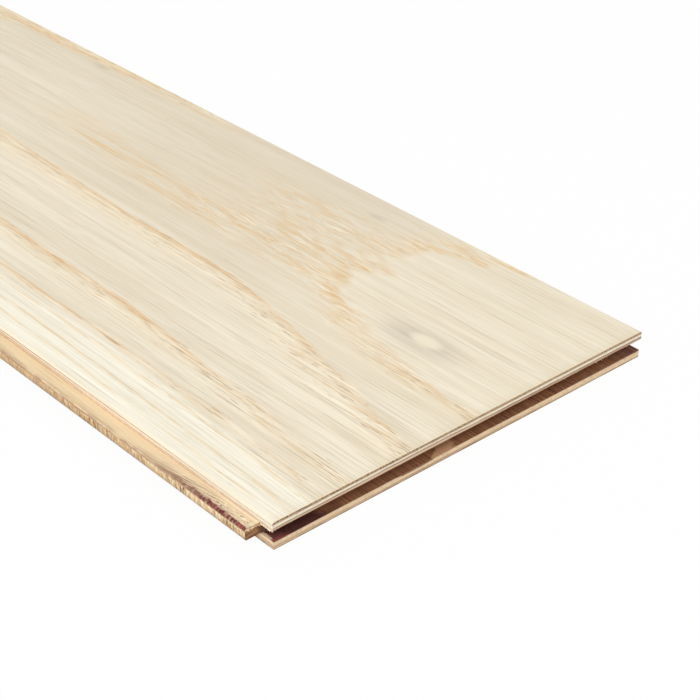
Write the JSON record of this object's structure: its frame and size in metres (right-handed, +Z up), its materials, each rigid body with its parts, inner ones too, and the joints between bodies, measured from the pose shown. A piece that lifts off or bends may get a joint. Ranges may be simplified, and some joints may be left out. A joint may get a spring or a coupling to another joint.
{
  "type": "engineered hardwood plank",
  "caption": "Flat floor plank of crossed wood plies under a pale oak face, with a tongue on one long side and one end and a groove on the other side and end.",
  "frame": {"origin": "middle of the overall box, tongues included, on the underside", "axes": "+Z up through the face, +Y along the length towards the end with the tongue, +X across towards the long side with the groove"},
  "size_m": [0.1966, 1.9064, 0.012],
  "materials": {
    "face_layer": "matt, pale oiled oak",
    "upper_long_ply": "sawn, pale veneer",
    "upper_cross_ply": "sawn, pinkish tan veneer",
    "middle_long_ply": "planed, tan veneer",
    "core_cross_ply": "sawn, rough end grain",
    "lower_long_ply": "sawn, tan veneer",
    "backing_ply": "sanded, brown veneer"
  },
  "bodies": {
    "root": {"face_layer": "face_layer", "upper_long_ply": "upper_long_ply", "upper_cross_ply": "upper_cross_ply", "middle_long_ply": "middle_long_ply", "core_cross_ply": "core_cross_ply", "lower_long_ply": "lower_long_ply", "backing_ply": "backing_ply"}
  },
  "joints": []
}
